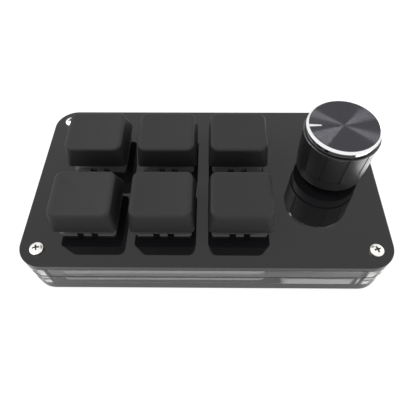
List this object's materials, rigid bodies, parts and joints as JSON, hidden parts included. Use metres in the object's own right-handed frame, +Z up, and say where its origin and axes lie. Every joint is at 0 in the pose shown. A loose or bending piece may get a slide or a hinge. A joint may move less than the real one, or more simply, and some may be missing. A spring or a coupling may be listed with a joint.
{
  "type": "macro keypad",
  "caption": "Desk macro keypad: six sprung keys in two rows and a push-and-turn knob on a black plate over clear frames.",
  "frame": {"origin": "middle of the footprint, on the surface that the rubber feet stand on", "axes": "+X to the right with the knob on that side, +Y to the rear where the data socket opens, +Z up"},
  "size_m": [0.1036, 0.059, 0.0352],
  "materials": {
    "black_acrylic": "glossy cast acrylic sheet, opaque black",
    "smoke_acrylic": "glossy cast acrylic sheet, dark grey",
    "clear_acrylic": "clear cast acrylic, laser-cut edges",
    "cap_plastic": "fine matt moulded plastic",
    "housing_plastic": "moulded nylon, black",
    "stem_plastic": "moulded acetal, brown",
    "spring_steel": "drawn wire and stamped strip",
    "screw_steel": "nickel plated steel",
    "brass_standoff": "turned brass",
    "board": "glass-epoxy board with black solder mask",
    "cable_plastic": "grey ribbon insulation",
    "socket_steel": "stamped stainless steel",
    "chip_epoxy": "moulded epoxy",
    "contact_bronze": "stamped phosphor bronze",
    "encoder_metal": "turned and die-cast, nickel plated",
    "knob_lacquer": "gloss black lacquer",
    "knob_aluminium": "spun, dark anodised, with a polished bevel",
    "hub_plastic": "moulded plastic",
    "feet_rubber": "moulded rubber"
  },
  "bodies": {
    "root": {"top_plate": "black_acrylic", "upper_frame": "clear_acrylic", "lower_frame": "clear_acrylic", "base_plate": "smoke_acrylic", "rubber_feet": "feet_rubber", "top_screws": "screw_steel", "base_screws": "screw_steel", "standoffs": "brass_standoff", "key_board": "board", "encoder_board": "board", "link_cable": "cable_plastic", "usb_shell": "socket_steel", "usb_tongue": "chip_epoxy", "controller_chip": "chip_epoxy", "board_parts": "chip_epoxy", "leaf_contacts": "contact_bronze", "fixed_contacts": "contact_bronze", "switch_base_1": "housing_plastic", "switch_cover_1": "housing_plastic", "spring_1": "spring_steel", "switch_base_2": "housing_plastic", "switch_cover_2": "housing_plastic", "spring_2": "spring_steel", "switch_base_3": "housing_plastic", "switch_cover_3": "housing_plastic", "spring_3": "spring_steel", "switch_base_4": "housing_plastic", "switch_cover_4": "housing_plastic", "spring_4": "spring_steel", "switch_base_5": "housing_plastic", "switch_cover_5": "housing_plastic", "spring_5": "spring_steel", "switch_base_6": "housing_plastic", "switch_cover_6": "housing_plastic", "spring_6": "spring_steel", "encoder_base": "housing_plastic", "encoder_cover": "socket_steel", "encoder_bushing": "encoder_metal", "encoder_pins": "contact_bronze", "encoder_dome": "spring_steel", "encoder_washer": "encoder_metal", "encoder_nut": "encoder_metal"},
    "key_1": {"keycap_1": "cap_plastic", "stem_1": "stem_plastic"},
    "key_2": {"keycap_2": "cap_plastic", "stem_2": "stem_plastic"},
    "key_3": {"keycap_3": "cap_plastic", "stem_3": "stem_plastic"},
    "key_4": {"keycap_4": "cap_plastic", "stem_4": "stem_plastic"},
    "key_5": {"keycap_5": "cap_plastic", "stem_5": "stem_plastic"},
    "key_6": {"keycap_6": "cap_plastic", "stem_6": "stem_plastic"},
    "plunger": {"encoder_plunger": "stem_plastic"},
    "rotor": {"encoder_rotor": "stem_plastic"},
    "knob": {"encoder_shaft": "encoder_metal", "knob_insert": "hub_plastic", "knob_body": "knob_lacquer", "knob_cap": "knob_aluminium"}
  },
  "joints": [
    {"name": "press_1", "type": "slide", "parent": "root", "child": "key_1", "axis": [0, 0, -1], "range_m": [0, 0.0036], "stiffness_N_per_m": 90, "springref_m": -0.0045, "deforming": ["spring_1"]},
    {"name": "press_2", "type": "slide", "parent": "root", "child": "key_2", "axis": [0, 0, -1], "range_m": [0, 0.0036], "stiffness_N_per_m": 90, "springref_m": -0.0045, "deforming": ["spring_2"]},
    {"name": "press_3", "type": "slide", "parent": "root", "child": "key_3", "axis": [0, 0, -1], "range_m": [0, 0.0036], "stiffness_N_per_m": 90, "springref_m": -0.0045, "deforming": ["spring_3"]},
    {"name": "press_4", "type": "slide", "parent": "root", "child": "key_4", "axis": [0, 0, -1], "range_m": [0, 0.0036], "stiffness_N_per_m": 90, "springref_m": -0.0045, "deforming": ["spring_4"]},
    {"name": "press_5", "type": "slide", "parent": "root", "child": "key_5", "axis": [0, 0, -1], "range_m": [0, 0.0036], "stiffness_N_per_m": 90, "springref_m": -0.0045, "deforming": ["spring_5"]},
    {"name": "press_6", "type": "slide", "parent": "root", "child": "key_6", "axis": [0, 0, -1], "range_m": [0, 0.0036], "stiffness_N_per_m": 90, "springref_m": -0.0045, "deforming": ["spring_6"]},
    {"name": "knob_press", "type": "slide", "parent": "root", "child": "plunger", "axis": [0, 0, -1], "range_m": [0, 0.0005], "stiffness_N_per_m": 2500, "springref_m": -0.001, "deforming": ["encoder_dome"]},
    {"name": "knob_turn", "type": "hinge", "parent": "plunger", "child": "knob", "pos_m": [0.0375, 0.0039, 0.0158], "axis": [0, 0, 1], "continuous": true},
    {"name": "rotor_turn", "type": "hinge", "parent": "root", "child": "rotor", "pos_m": [0.0375, 0.0039, 0.0158], "axis": [0, 0, 1], "continuous": true}
  ],
  "couplings": [
    {"joint": "rotor_turn", "follows": "knob_turn", "ratio": 1}
  ]
}
